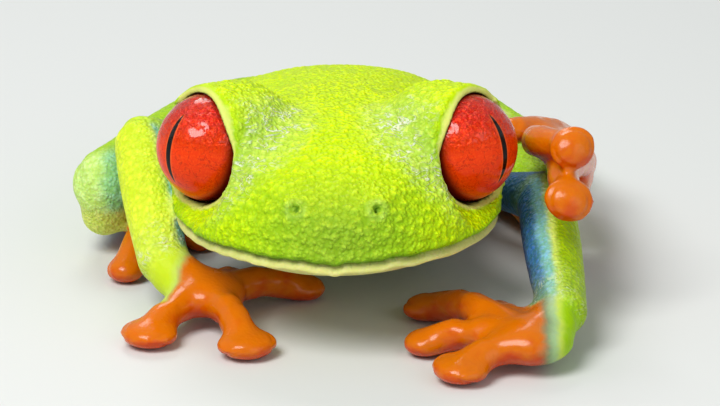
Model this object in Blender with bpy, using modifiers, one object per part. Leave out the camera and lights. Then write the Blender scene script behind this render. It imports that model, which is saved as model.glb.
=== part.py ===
"""A red-eyed tree frog at life size, sitting up on its hands with one hind foot raised beside its eye.

The flesh is modelled whole: simple forms are fused, smoothed and levelled on the floor. Thin saw cuts then
part it at its joints. The eyes are balls of their own that sit in sockets. X runs to the frog's left, the
snout points along -Y and +Z is up. While it is modelled, Y is 0 at the eyes and X is 0 on the midline.
"""

import math

import bmesh
import bpy
from mathutils import Matrix, Vector

MM = 0.001

# Head, in millimetres. Heights marked so are measured from the eyes' centres.
EYE_HEIGHT = 11.2  # of the eyes' centres over the floor
EYE_OFFSET = 7.8  # of each eye's centre from the midline
EYE_RADIUS = 3.45
EYE_TURN = math.radians(52)  # how far each eye looks out to its side
EYE_TILT = math.radians(10)  # and how far up
SOCKET_GAP = 0.25
LID_RADIUS = 4.1
LID_DEPTH = 0.8  # from the eye's centre, along its sight line, to the rim of the lids
LID_RIM = 3.3  # radius of the opening at the rim
LID_MOUTH = 5.5  # and 5 mm further out
HEAD_HALF_WIDTH = 10.35
HEAD_FRONT = 11.0  # from the widest place forward to the snout
HEAD_BACK = 12.5
HEAD_WIDEST = 1.5
JAW_MIDDLE = -3.5  # the height, from the eyes, at which a section of the head is widest
MOUTH = -4.6
NECK = (0, 9.2, 7.5)  # a place on the cut behind the head, over the floor
NECK_FACING = (0, -1, 0.12)
HEAD_STATIONS = (  # y, top, chin, from the eyes
    (-9.5, -0.5, -6.3),
    (-5.0, 1.0, -6.5),
    (0.0, 2.1, -7.0),
    (5.0, 2.2, -7.8),
    (10.0, 1.8, -8.4),
    (17.0, 0.6, -9.5),
)
BROW_RADII = (4.1, 4.9, 4.1)
NOSTRIL_RIDGE = ((4.6, -3.4, -0.4, 1.3), (3.2, -6.4, -1.15, 0.95), (2.35, -8.0, -1.55, 0.75))
SNOUT_POWER = {"skull": 3.6, "jaw": 6.0}
SECTION_POWER = {"skull": 2.9, "jaw": 2.8}
SKULL_TAPER = 0.34  # how much narrower the head is at its top than at the lip

# Trunk: y, half width, back, belly, over the floor.
TRUNK_STATIONS = (
    (2.0, 8.0, 12.6, 5.0),
    (10.0, 8.8, 12.9, 2.6),
    (15.0, 9.1, 12.3, 0.9),
    (22.0, 9.2, 10.4, -0.4),
    (30.0, 8.1, 8.1, -0.4),
    (36.0, 6.9, 6.4, -0.3),
    (41.0, 6.0, 5.2, -0.1),
    (45.0, 5.2, 4.4, 0.3),
)
TRUNK_POWER = 2.3
TRUNK_BLUNTNESS = 0.34

# Limb joints, as x, y, z and the limb's radius there.
SIDES = ("left", "right")
SHOULDER = {"left": (7.2, 14.6, 4.4, 1.5), "right": (-6.4, 17.0, 6.2, 1.5)}
ELBOW = {"left": (13.4, 6.0, 5.9, 1.8), "right": (-13.0, 9.8, 8.6, 1.75)}
WRIST = {"left": (13.9, -7.2, 2.5, 1.55), "right": (-11.0, 1.0, 2.9, 1.65)}
HIP = {"left": (4.4, 40.2, 2.4, 2.4), "right": (-4.4, 40.2, 2.4, 2.4)}
KNEE = {"left": (13.9, 13.2, 3.5, 1.9), "right": (-15.4, 12.2, 4.9, 2.4)}
HEEL = {"left": (11.3, 41.0, 1.35, 1.2), "right": (-11.4, 41.0, 1.6, 1.25)}
ANKLE = {"left": (16.2, 27.0, 2.3, 0.95), "right": (-10.1, 28.0, 1.0, 0.95)}
KNEE_DROP = {"left": 1.8, "right": 2.0}  # how far the shank starts under the end of the thigh it folds against
UPPER_ARM_RADIUS = 1.25
FOREARM_RADIUS = 1.9
THIGH_RADIUS = 2.45
SHANK_RADIUS = 1.95
TARSUS_RADIUS = 1.0
THIGH_RISE = {"left": 0.2, "right": 1.15}
THIGH_SEAM = ((8.9, 24.0), (5.4, 42.0))  # where a thigh parts from the trunk, as x, y

# Hands and feet: the middle of the palm or sole and its three radii, then each digit from the innermost one.
# A digit is the points between the palm and its pad, the radius of the pad, and the way the pad's top faces.
UP = (0, 0, 1)
PALM = {"left": (11.9, -9.2, 1.8), "right": (-8.3, -1.0, 1.9)}
PALM_SIZE = (2.6, 2.7, 1.45)
FINGERS = {
    "left": (
        (((10.9, -4.8, 1.3), (10.1, -1.8, 0.76)), 1.2, UP),
        (((8.4, -4.2, 2.1), (5.6, -0.6, 0.76)), 1.65, UP),
        (((8.2, -7.6, 1.7), (5.5, -6.9, 0.76)), 1.6, UP),
        (((9.4, -10.4, 1.5), (7.5, -11.4, 0.8)), 2.05, UP),
    ),
    "right": (
        (((-7.4, 2.2, 1.5), (-6.6, 4.2, 0.76)), 1.25, UP),
        (((-5.0, 1.4, 1.8), (-2.2, 3.2, 0.76)), 1.6, UP),
        (((-6.7, -4.2, 1.8), (-5.5, -7.2, 0.76)), 2.0, UP),
        (((-10.3, -3.4, 1.6), (-11.6, -5.3, 0.76)), 2.0, UP),
    ),
}
SOLE = {"left": (16.1, 19.6, 5.2), "right": (-10.1, 22.6, 1.0)}
SOLE_SIZE = (1.6, 3.8, 0.9)
AWAY = (0.2, -0.85, 0.5)
TOES = {
    "left": (
        (((14.8, 17.2, 6.8), (12.8, 15.0, 7.9)), 1.15, UP),
        (((14.2, 14.4, 7.8), (11.6, 11.0, 9.0)), 1.25, UP),
        (((14.2, 9.8, 8.4), (12.8, 5.6, 9.9), (13.0, 2.8, 10.7), (14.7, -0.6, 11.3)), 1.65, AWAY),
        (((15.9, 9.8, 7.2), (14.9, 4.8, 8.6), (14.2, 1.2, 9.2), (14.4, -2.4, 8.5)), 1.7, AWAY),
        (((16.4, 14.8, 5.7), (15.6, 10.2, 4.6)), 1.2, UP),
    ),
    "right": (
        (((-8.8, 18.8, 1.2), (-8.4, 16.2, 0.76)), 1.0, UP),
        (((-9.6, 16.8, 1.3), (-9.4, 12.8, 0.76)), 1.15, UP),
        (((-11.0, 15.2, 1.4), (-11.4, 9.6, 0.76)), 1.3, UP),
        (((-11.6, 15.6, 1.3), (-12.9, 10.2, 2.1), (-13.9, 6.6, 0.76)), 1.4, UP),
        (((-12.1, 17.0, 1.1), (-13.4, 13.0, 0.76)), 1.0, UP),
    ),
}
DIGIT_RADIUS = 1.08
PAD_THICKNESS = 0.76
WEB_THICKNESS = 0.75

# Fusing and parting.
COARSE_VOXEL = 0.3
FINE_VOXEL = 0.2
SOFTENING = 20  # smoothing passes over the head and trunk
LIGHT_SOFTENING = 6
GAP = 0.3  # between two nodes that meet
ROOM = 0.38  # that a digit is given in its palm or sole
WORK_TRIANGLES = 24000  # of the head while its sockets are cut
SHOULDER_SHARE = 0.58  # how far down the upper arm its cut lies
DIGIT_SHARE = {"finger": 0.55, "toe": 0.68}  # and how far along a digit
NODE_TRIANGLES = {
    "head": 1500,
    "lower_jaw": 420,
    "trunk": 640,
    "upper_arm": 110,
    "forearm": 210,
    "hand": 260,
    "finger": 180,
    "thigh": 260,
    "shank": 220,
    "tarsus": 130,
    "foot": 270,
    "toe": 150,
    "eye": 480,
}
COLOURS = {  # base colour, roughness
    "skin": ((0.33, 0.62, 0.02, 1), 0.4),
    "lip": ((0.86, 0.8, 0.5, 1), 0.45),
    "digits": ((0.95, 0.2, 0.01, 1), 0.3),
    "flank": ((0.1, 0.2, 0.5, 1), 0.45),
    "eye": ((0.7, 0.02, 0.01, 1), 0.08),
}


def point(place):
    """The first three of a joint's numbers, in metres."""
    return Vector(place[:3]) * MM


def clear_scene():
    for old in list(bpy.data.objects):
        bpy.data.objects.remove(old, do_unlink=True)


def only(obj):
    bpy.ops.object.select_all(action="DESELECT")
    obj.select_set(True)
    bpy.context.view_layer.objects.active = obj
    return obj


def apply_modifier(obj, kind, **settings):
    only(obj)
    modifier = obj.modifiers.new(kind.title(), kind)
    for name, value in settings.items():
        setattr(modifier, name, value)
    bpy.ops.object.modifier_apply(modifier=modifier.name)
    return obj


def fuse(forms, voxel, passes):
    """One smooth closed surface round all these overlapping forms."""
    only(forms[0])
    for form in forms:
        form.select_set(True)
    bpy.ops.object.join()
    whole = bpy.context.object
    bpy.ops.object.transform_apply(location=True, rotation=True, scale=True)
    apply_modifier(whole, "REMESH", mode="VOXEL", voxel_size=voxel * MM)
    return apply_modifier(whole, "SMOOTH", factor=0.5, iterations=passes)


def ball(centre, radii, axes=None):
    """An ellipsoid. axes are the columns of its rotation."""
    bpy.ops.mesh.primitive_uv_sphere_add(segments=32, ring_count=16, radius=1)
    form = bpy.context.object
    turn = axes.to_4x4() if axes else Matrix.Identity(4)
    form.matrix_world = Matrix.Translation(point(centre)) @ turn @ Matrix.Diagonal((*(r * MM for r in radii), 1))
    return form


def along(stations, y):
    """The stations' values at y, eased from one to the next with the slope of their neighbours."""
    if y <= stations[0][0]:
        return stations[0][1:]
    if y >= stations[-1][0]:
        return stations[-1][1:]
    i = max(k for k in range(len(stations) - 1) if stations[k][0] <= y)
    rows = [stations[max(0, min(len(stations) - 1, k))] for k in (i - 1, i, i + 1, i + 2)]
    t = (y - rows[1][0]) / (rows[2][0] - rows[1][0])
    return tuple(curve_through(*(row[k] for row in rows), t) for k in range(1, len(rows[0])))


def curve_through(before, start, end, after, t):
    """A smooth curve from start to end, at share t of the way."""
    return 0.5 * (
        2 * start
        + (end - before) * t
        + (2 * before - 5 * start + 4 * end - after) * t**2
        + (3 * start - before - 3 * end + after) * t**3
    )


def tube(joints, steps=6, round_start=True, round_end=True):
    """A limb or digit: a smooth round tube through these points, each with its radius."""
    ends = [joints[0], *joints, joints[-1]]
    path = [
        [curve_through(*(row[k] for row in ends[i : i + 4]), s / steps) for k in range(4)]
        for i in range(len(joints) - 1)
        for s in range(steps)
    ] + [joints[-1]]
    curve = bpy.data.curves.new("tube", "CURVE")
    curve.dimensions = "3D"
    curve.bevel_depth = MM
    curve.bevel_resolution = 6
    curve.use_fill_caps = True
    spline = curve.splines.new("POLY")
    spline.points.add(len(path) - 1)
    for knot, (x, y, z, radius) in zip(spline.points, path):
        knot.co = (x * MM, y * MM, z * MM, 1)
        knot.radius = radius
    shape = bpy.data.objects.new("tube", curve)
    bpy.context.collection.objects.link(shape)
    only(shape)
    bpy.ops.object.convert(target="MESH")
    caps = [place for place, rounded in ((joints[0], round_start), (joints[-1], round_end)) if rounded]
    return [shape] + [ball(place, (place[3],) * 3) for place in caps]


def superellipse(angle, power):
    """How far across and how far up a rounded box reaches, at this angle from its top."""
    across, up = math.sin(angle), math.cos(angle)
    return (
        math.copysign(abs(across) ** (2 / power), across),
        math.copysign(abs(up) ** (2 / power), up),
    )


def shaped_ball(place_of):
    """A ball whose pole points along -Y. place_of gives a point's place from its angle off the pole and round it."""
    bpy.ops.mesh.primitive_uv_sphere_add(segments=48, ring_count=36, radius=1)
    form = bpy.context.object
    for vertex in form.data.vertices:
        x, y, z = vertex.co
        off_pole = math.acos(max(-1, min(1, z)))
        vertex.co = Vector(place_of(off_pole, math.atan2(x, -y))) * MM
    bm = bmesh.new()
    bm.from_mesh(form.data)
    bmesh.ops.recalc_face_normals(bm, faces=bm.faces)
    bm.to_mesh(form.data)
    bm.free()
    return form


def head_point(off_pole, angle):
    """A point of the head. From above it is an ellipse, from the side it is blunt, and its sections are rounded."""
    length = HEAD_FRONT if off_pole < math.pi / 2 else HEAD_BACK
    ahead = math.cos(off_pole)
    y = HEAD_WIDEST - length * ahead
    wide = HEAD_HALF_WIDTH * math.sin(off_pole)
    part = "skull" if abs(angle) < math.pi / 2 else "jaw"
    tall = (1 - abs(ahead) ** SNOUT_POWER[part]) ** (1 / SNOUT_POWER[part])
    top, chin = along(HEAD_STATIONS, y)
    across, up = superellipse(angle, SECTION_POWER[part])
    reach = (top - JAW_MIDDLE) * tall * up if up > 0 else (JAW_MIDDLE - chin) * tall * up
    return wide * across * (1 - SKULL_TAPER * max(up, 0) ** 1.5), y, EYE_HEIGHT + JAW_MIDDLE + reach


def trunk_point(off_pole, angle):
    first, last = TRUNK_STATIONS[0][0], TRUNK_STATIONS[-1][0]
    y = (first + last) / 2 - (last - first) / 2 * math.cos(off_pole)
    half_width, back, belly = along(TRUNK_STATIONS, y)
    close = math.sin(off_pole) ** TRUNK_BLUNTNESS
    across, up = superellipse(angle, TRUNK_POWER)
    return half_width * close * across, y, (back + belly) / 2 + (back - belly) / 2 * close * up


def sign_of(side):
    return 1 if side == "left" else -1


def sight_line(side):
    out = sign_of(side) * math.sin(EYE_TURN)
    return Vector((out * math.cos(EYE_TILT), -math.cos(EYE_TURN) * math.cos(EYE_TILT), math.sin(EYE_TILT)))


def eye_centre(side):
    return Vector((sign_of(side) * EYE_OFFSET, 0, EYE_HEIGHT))


def lid_forms(side):
    """The bulge of skin over and behind one eye."""
    x, y, z = eye_centre(side)
    return [ball((x, y, z), (LID_RADIUS,) * 3), ball((x - sign_of(side) * 1.4, y + 1.2, z - 0.2), BROW_RADII)]


def open_lids(flesh, side):
    """Clears a cone in front of one eye, down to the rim of its lids."""
    sight, depth = sight_line(side), 5.0
    bpy.ops.mesh.primitive_cone_add(vertices=48, radius1=LID_RIM * MM, radius2=LID_MOUTH * MM, depth=depth * MM)
    cone = bpy.context.object
    centre = eye_centre(side) + sight * (LID_DEPTH + depth / 2)
    cone.matrix_world = Matrix.Translation(centre * MM) @ sight.to_track_quat("Z", "Y").to_matrix().to_4x4()
    cut_away(flesh, cone)


def cut_away(flesh, cutter):
    cutter.hide_render = True
    cutter.display_type = "WIRE"
    apply_modifier(flesh, "BOOLEAN", operation="DIFFERENCE", solver="EXACT", object=cutter)
    bpy.data.objects.remove(cutter, do_unlink=True)


def head_forms():
    """The skull, with a soft ridge from each eye to its nostril."""
    forms = [shaped_ball(head_point)]
    for sign in (-1, 1):
        ridge = [(sign * x, y, EYE_HEIGHT + z, r) for x, y, z, r in NOSTRIL_RIDGE]
        forms += tube(ridge)
    return forms


def upper_arm_forms(side):
    return tube([SHOULDER[side], swell(SHOULDER[side], ELBOW[side], 0.5, UPPER_ARM_RADIUS), ELBOW[side]])


def shoulder_forms(side):
    """The upper arm as far as its cut, which stays with the trunk."""
    cut = back_from(swell(SHOULDER[side], ELBOW[side], SHOULDER_SHARE, UPPER_ARM_RADIUS), SHOULDER[side], GAP)
    return tube([SHOULDER[side], swell(SHOULDER[side], ELBOW[side], 0.3, UPPER_ARM_RADIUS), cut], round_end=False)


def forearm_forms(side):
    return tube([ELBOW[side], swell(ELBOW[side], WRIST[side], 0.4, FOREARM_RADIUS), WRIST[side]])


def thigh_forms(side):
    x, y, z, radius = swell(HIP[side], KNEE[side], 0.45, THIGH_RADIUS)
    return tube([HIP[side], (x, y, z + THIGH_RISE[side], radius), KNEE[side]])


def shank_forms(side):
    knee = knee_of_shank(side)
    return tube([knee, swell(knee, HEEL[side], 0.3, SHANK_RADIUS), HEEL[side]])


def tarsus_forms(side):
    return tube([HEEL[side], swell(HEEL[side], ANKLE[side], 0.5, TARSUS_RADIUS), ANKLE[side]])


def knee_of_shank(side):
    """Where the shank starts, under the end of the thigh that it folds against."""
    x, y, z, radius = KNEE[side]
    return x + sign_of(side) * 0.2, y + 0.3, z - KNEE_DROP[side], radius * 0.72


def back_from(place, towards, distance):
    """This place, moved towards another one, with its radius kept."""
    here = Vector(place[:3])
    return (*(here + (Vector(towards[:3]) - here).normalized() * distance), place[3])


def swell(a, b, share, radius):
    """The place part of the way from a to b, with a radius of its own."""
    return (*(p + (q - p) * share for p, q in zip(a[:3], b[:3])), radius)


def pad_axes(ahead, top):
    """The rotation of a pad: across the digit, along it, and up through the pad's top."""
    up = Vector(top).normalized()
    side = ahead.cross(up).normalized()
    return Matrix((side, up.cross(side), up)).transposed()


def digit_path(middle, knots):
    """Where a digit runs, from inside its palm or sole to its pad."""
    root = Vector(middle).lerp(Vector(knots[0]), 0.25)
    radii = [1.05] + [1.0] * (len(knots) - 1) + [0.88]
    return [(*place, DIGIT_RADIUS * share) for place, share in zip([root, *knots], radii)]


def digit_forms(middle, knots, pad, top):
    path = digit_path(middle, knots)
    ahead = (Vector(knots[-1]) - Vector(path[-2][:3])).normalized()
    return tube(path) + [ball(knots[-1], (pad, pad * 0.9, PAD_THICKNESS), pad_axes(ahead, top))]


def web(first, second, reach):
    """The skin between two digits, with a hollow edge."""
    bpy.ops.mesh.primitive_grid_add(x_subdivisions=8, y_subdivisions=8, size=2)
    sheet = bpy.context.object
    for vertex in sheet.data.vertices:
        across, out = (vertex.co.x + 1) / 2, (vertex.co.y + 1) / 2
        out *= reach * (1 - 0.35 * 4 * across * (1 - across))
        vertex.co = on_path(first, out).lerp(on_path(second, out), across) * MM
    return apply_modifier(sheet, "SOLIDIFY", thickness=WEB_THICKNESS * MM, offset=0)


def on_path(path, share):
    """The point this share of the way along a digit."""
    spot = share * (len(path) - 1)
    i = min(int(spot), len(path) - 2)
    return Vector(path[i][:3]).lerp(Vector(path[i + 1][:3]), spot - i)


def cut_digit(path, share):
    """A digit's path from its root to this share of its length."""
    whole = [row for k, row in enumerate(path) if k < share * (len(path) - 1)]
    return [*whole, (*on_path(path, share), DIGIT_RADIUS)]


def paw_forms(middle, size, joint, digits, kind):
    """A hand or foot without its digits: the palm or sole, the stub of the limb, the digits' roots and the webs."""
    ahead = Vector(middle) - Vector(joint[:3])
    heading = Matrix.Rotation(math.atan2(-ahead.x, ahead.y), 3, "Z")
    slope = Matrix.Rotation(math.atan2(ahead.z, ahead.xy.length), 3, "X") if kind == "toe" else Matrix.Identity(3)
    forms = [ball(middle, size, heading @ slope)]
    start = back_from(joint, middle, GAP / 2)
    forms += tube([start, (*middle, min(joint[3], size[2]))], round_start=False)
    paths = [digit_path(middle, knots) for knots, pad, top in digits]
    for path in paths:
        forms += tube(cut_digit(path, DIGIT_SHARE[kind] - GAP / path_length(path)), round_end=False)
    for first, second in zip(paths, paths[1:]):
        forms.append(web(first, second, DIGIT_SHARE[kind]))
    return forms


def digit_root(path, kind):
    """The plane at which a digit parts from its palm or sole, facing its pad."""
    root = on_path(path, DIGIT_SHARE[kind])
    return root, (on_path(path, DIGIT_SHARE[kind] + 0.05) - root).normalized()


def path_length(path):
    return sum((Vector(a[:3]) - Vector(b[:3])).length for a, b in zip(path, path[1:]))


def joint_plane(joint, before, after):
    """The plane through a joint, halfway between the two lengths that meet there, facing the second one."""
    here = Vector(joint[:3])
    return here, ((Vector(after[:3]) - here).normalized() - (Vector(before[:3]) - here).normalized()).normalized()


def knee_plane(side):
    """The plane between the folded thigh and shank, facing the shank."""
    shank = knee_of_shank(side)
    knees = (Vector(KNEE[side][:3]) + Vector(shank[:3])) / 2
    thigh_spot = Vector(swell(KNEE[side], HIP[side], 0.3, 0)[:3])
    shank_spot = Vector(swell(shank, HEEL[side], 0.3, 0)[:3])
    ahead = ((thigh_spot + shank_spot) / 2 - knees).normalized()
    apart = shank_spot - thigh_spot
    return knees, (apart - ahead * apart.dot(ahead)).normalized()


def seam_plane(side):
    """The upright plane between the trunk and a thigh, facing the thigh."""
    front, back = (Vector((sign_of(side) * x, y, 0)) for x, y in THIGH_SEAM)
    return front, (back - front).cross(Vector(UP)).normalized() * sign_of(side)


def other_way(plane):
    return plane[0], -plane[1]


def keep_ahead(piece, plane, gap=GAP):
    """Cuts a piece along a plane and keeps what the plane faces, half a gap away from it."""
    centre, facing = plane
    bm = bmesh.new()
    bm.from_mesh(piece.data)
    geometry = bm.verts[:] + bm.edges[:] + bm.faces[:]
    spot = (centre + facing * gap / 2) * MM
    cut = bmesh.ops.bisect_plane(bm, geom=geometry, plane_co=spot, plane_no=-facing, clear_outer=True)
    rims = [edge for edge in cut["geom_cut"] if isinstance(edge, bmesh.types.BMEdge)]
    bmesh.ops.holes_fill(bm, edges=rims, sides=0)
    bmesh.ops.triangulate(bm, faces=bm.faces)
    bm.to_mesh(piece.data)
    bm.free()


def make_node(name, piece, planes, around=()):
    """Cuts a piece along its planes and the floor and away from the nodes around it. Keeps the biggest part."""
    for node in around:
        cut_away(piece, grown(node))
    if around:
        apply_modifier(piece, "REMESH", mode="VOXEL", voxel_size=FINE_VOXEL * MM)
    for plane in planes:
        keep_ahead(piece, plane)
    keep_ahead(piece, (Vector((0, 0, 0)), Vector(UP)), 0)
    only(piece)
    bpy.ops.mesh.separate(type="LOOSE")
    parts = sorted(bpy.context.selected_objects, key=volume)
    for crumb in parts[:-1]:
        bpy.data.objects.remove(crumb, do_unlink=True)
    parts[-1].name = name
    kind = name.removesuffix("_left").removesuffix("_right")
    reduce_to(parts[-1], NODE_TRIANGLES[kind.split("_")[0] if kind[-1].isdigit() else kind])
    return parts[-1]


def grown(node):
    """A copy of a node that is a good gap bigger all over, to cut room for it."""
    room = copy_of(node)
    for vertex, way in zip(room.data.vertices, [v.normal.copy() for v in node.data.vertices]):
        vertex.co += way * ROOM * MM
    return room


def volume(part):
    """In cubic millimetres."""
    bm = bmesh.new()
    bm.from_mesh(part.data)
    cubic = bm.calc_volume() / MM**3
    bm.free()
    return cubic


def copy_of(piece):
    twin = piece.copy()
    twin.data = piece.data.copy()
    bpy.context.collection.objects.link(twin)
    return twin


def body_nodes():
    """The head, the lower jaw, the trunk and the thighs, out of one piece."""
    lids = [form for side in SIDES for form in lid_forms(side)]
    flesh = fuse([*head_forms(), *lids, shaped_ball(trunk_point)], COARSE_VOXEL, SOFTENING)
    for side in SIDES:
        open_lids(flesh, side)
    limbs = [form for side in SIDES for form in [*shoulder_forms(side), *thigh_forms(side), *shank_forms(side)]]
    flesh = fuse([flesh, *limbs], COARSE_VOXEL, LIGHT_SOFTENING)
    neck = (Vector(NECK), Vector(NECK_FACING).normalized())
    mouth = (Vector((0, 0, EYE_HEIGHT + MOUTH)), Vector(UP))
    seams = {side: seam_plane(side) for side in SIDES}
    rear = [other_way(seams["left"]), other_way(seams["right"])]
    trunk = make_node("trunk", copy_of(flesh), [other_way(neck), *rear])
    thighs = [
        make_node(f"thigh_{side}", copy_of(flesh), [seams[side], other_way(knee_plane(side))]) for side in SIDES
    ]
    keep_ahead(flesh, neck)
    reduce_to(flesh, WORK_TRIANGLES)
    for side in SIDES:
        cut_away(flesh, ball(eye_centre(side), (EYE_RADIUS + SOCKET_GAP,) * 3))
    jaw = make_node("lower_jaw", copy_of(flesh), [other_way(mouth)])
    return [make_node("head", flesh, [mouth]), jaw, trunk, *thighs]


def arm_nodes(side):
    upper, lower, palm = SHOULDER[side], WRIST[side], (*PALM[side], PALM_SIZE[2])
    cut = Vector(swell(upper, ELBOW[side], SHOULDER_SHARE, 0)[:3])
    shoulder = (cut, (Vector(ELBOW[side][:3]) - cut).normalized())
    elbow = joint_plane(ELBOW[side], upper, lower)
    wrist = joint_plane(lower, ELBOW[side], palm)
    both = fuse(upper_arm_forms(side) + forearm_forms(side) + tube([lower, palm]), FINE_VOXEL, LIGHT_SOFTENING)
    upper_arm = make_node(f"upper_arm_{side}", copy_of(both), [shoulder, other_way(elbow)])
    forearm = make_node(f"forearm_{side}", both, [elbow, other_way(wrist)])
    hand = paw_nodes(side, "hand", "finger", PALM[side], PALM_SIZE, lower, FINGERS[side], forearm)
    return [upper_arm, forearm, *hand]


def leg_nodes(side):
    heel = joint_plane(HEEL[side], knee_of_shank(side), ANKLE[side])
    ankle = joint_plane(ANKLE[side], HEEL[side], SOLE[side])
    sole = (*SOLE[side], SOLE_SIZE[2])
    shank = fuse(thigh_forms(side) + shank_forms(side) + tarsus_forms(side), FINE_VOXEL, LIGHT_SOFTENING)
    tarsus = fuse(shank_forms(side) + tarsus_forms(side) + tube([ANKLE[side], sole]), FINE_VOXEL, LIGHT_SOFTENING)
    shank = make_node(f"shank_{side}", shank, [knee_plane(side), other_way(heel)])
    tarsus = make_node(f"tarsus_{side}", tarsus, [heel, other_way(ankle)])
    foot = paw_nodes(side, "foot", "toe", SOLE[side], SOLE_SIZE, ANKLE[side], TOES[side], tarsus)
    return [shank, tarsus, *foot]


def paw_nodes(side, paw, kind, middle, size, joint, digits, limb):
    """The digits of a hand or foot, each clear of the ones before it, and then the palm or sole, clear of all."""
    nodes = []
    for number, (knots, pad, top) in enumerate(digits, 1):
        digit = fuse(digit_forms(middle, knots, pad, top), FINE_VOXEL, 3)
        root = digit_root(digit_path(middle, knots), kind)
        nodes.append(make_node(f"{kind}_{number}_{side}", digit, [root], nodes))
    forms = paw_forms(middle, size, joint, digits, kind)
    return [*nodes, make_node(f"{paw}_{side}", fuse(forms, FINE_VOXEL, LIGHT_SOFTENING), [], [limb, *nodes])]


def eye(side):
    """An eyeball, with the poles of its mesh on its sight line."""
    sight = sight_line(side)
    ahead = pad_axes(Vector((sight.y, -sight.x, 0)), sight)
    form = ball(eye_centre(side), (EYE_RADIUS,) * 3, ahead)
    form.name = f"eye_{side}"
    only(form)
    bpy.ops.object.transform_apply(location=True, rotation=True, scale=True)
    reduce_to(form, NODE_TRIANGLES["eye"])
    return form


def material(name):
    colour, roughness = COLOURS[name]
    made = bpy.data.materials.get(name) or bpy.data.materials.new(name)
    made.use_nodes = True
    shader = made.node_tree.nodes["Principled BSDF"]
    shader.inputs["Base Color"].default_value = colour
    shader.inputs["Roughness"].default_value = roughness
    shader.inputs["Metallic"].default_value = 0
    return made


def finish_of(name):
    kind = name.split("_")[0]
    if kind in ("hand", "finger", "foot", "toe"):
        return "digits"
    return {"eye": "eye", "lower": "lip", "trunk": "skin", "upper": "flank"}.get(kind, "skin")


def reduce_to(obj, triangles):
    apply_modifier(obj, "TRIANGULATE")
    count = len(obj.data.polygons)
    if count > triangles:
        apply_modifier(obj, "DECIMATE", ratio=triangles / count, use_collapse_triangulate=True)


def stand_on_origin(objects):
    """Moves the whole frog so that the middle of its box's underside is the origin."""
    corners = [obj.matrix_world @ v.co for obj in objects for v in obj.data.vertices]
    low = [min(c[k] for c in corners) for k in range(3)]
    high = [max(c[k] for c in corners) for k in range(3)]
    shift = Matrix.Translation((-(low[0] + high[0]) / 2, -(low[1] + high[1]) / 2, -low[2]))
    for obj in objects:
        obj.data.transform(shift)


def build():
    clear_scene()
    frog = body_nodes()
    for side in SIDES:
        frog += [*arm_nodes(side), *leg_nodes(side), eye(side)]
    stand_on_origin(frog)
    home = bpy.data.collections.new("red_eyed_tree_frog")
    bpy.context.scene.collection.children.link(home)
    for obj in frog:
        for old in list(obj.users_collection):
            old.objects.unlink(obj)
        home.objects.link(obj)
        obj.data.materials.clear()
        obj.data.materials.append(material(finish_of(obj.name)))
        obj.data.shade_smooth()


build()
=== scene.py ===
# %% [markdown]
# # A red-eyed tree frog at life size
# The frog crouches on its belly and hands, with its head raised and one hind foot lifted beside an eye. The
# imported solids give every place and size here, and nothing is measured again: the skin is grown over copies
# of them, and the eyes are set where their solids are. This first cell loads the solids.

# %% Load the imported solids
import math

import bmesh
import bpy
import numpy as np
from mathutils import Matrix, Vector, noise
from mathutils.bvhtree import BVHTree


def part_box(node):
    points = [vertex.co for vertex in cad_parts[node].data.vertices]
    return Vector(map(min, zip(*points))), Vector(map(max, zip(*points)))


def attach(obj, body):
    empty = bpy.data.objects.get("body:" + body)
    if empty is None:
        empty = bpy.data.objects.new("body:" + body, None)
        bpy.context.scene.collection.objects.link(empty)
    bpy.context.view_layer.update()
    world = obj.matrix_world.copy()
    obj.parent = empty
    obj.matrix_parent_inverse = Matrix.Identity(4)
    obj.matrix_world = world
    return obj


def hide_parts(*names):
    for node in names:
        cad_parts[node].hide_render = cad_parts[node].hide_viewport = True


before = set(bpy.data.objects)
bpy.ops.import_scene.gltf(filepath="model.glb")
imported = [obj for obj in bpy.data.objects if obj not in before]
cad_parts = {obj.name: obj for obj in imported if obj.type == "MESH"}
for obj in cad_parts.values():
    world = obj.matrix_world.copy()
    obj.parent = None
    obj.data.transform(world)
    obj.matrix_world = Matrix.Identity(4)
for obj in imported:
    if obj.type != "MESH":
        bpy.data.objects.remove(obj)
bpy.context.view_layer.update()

MM = 0.001
SIDES = ("left", "right")
FLESH = sorted(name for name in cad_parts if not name.startswith("eye"))

# %% [markdown]
# ## Where things are on the head
# The two eyes are the landmarks of a frog's head, so every place on it is given in millimetres from the point
# midway between them: x to the frog's left, y backwards, z up. A few lines of numpy turn a mesh into such
# numbers and back, which is much quicker than visiting vertices one by one.

# %% Landmarks
def box_centre(node):
    low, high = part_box(node)
    return (Vector(low) + Vector(high)) / 2


EYE_CENTRE = {side: box_centre(f"eye_{side}") for side in SIDES}
EYE_RADIUS = (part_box("eye_left")[1][2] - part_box("eye_left")[0][2]) / 2 / MM
MIDDLE = np.array((EYE_CENTRE["left"] + EYE_CENTRE["right"]) / 2)
EYE_PLACE = {side: (np.array(EYE_CENTRE[side]) - MIDDLE) / MM for side in SIDES}
FLOOR = -MIDDLE[2] / MM  # the floor's height, from the eyes
print("eye radius", round(EYE_RADIUS, 2), "mm, eyes", round(-FLOOR, 2), "mm over the floor")

# %% Helpers for places, and for evening them out
def places(mesh):
    """The vertices of a mesh, in millimetres from the middle of the eyes."""
    flat = np.empty(len(mesh.vertices) * 3)
    mesh.vertices.foreach_get("co", flat)
    return (flat.reshape(-1, 3) - MIDDLE) / MM


def put_places(mesh, spots):
    mesh.vertices.foreach_set("co", (spots * MM + MIDDLE).ravel())
    mesh.update()


def normals(mesh):
    flat = np.empty(len(mesh.vertices) * 3)
    mesh.vertices.foreach_get("normal", flat)
    return flat.reshape(-1, 3)


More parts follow.
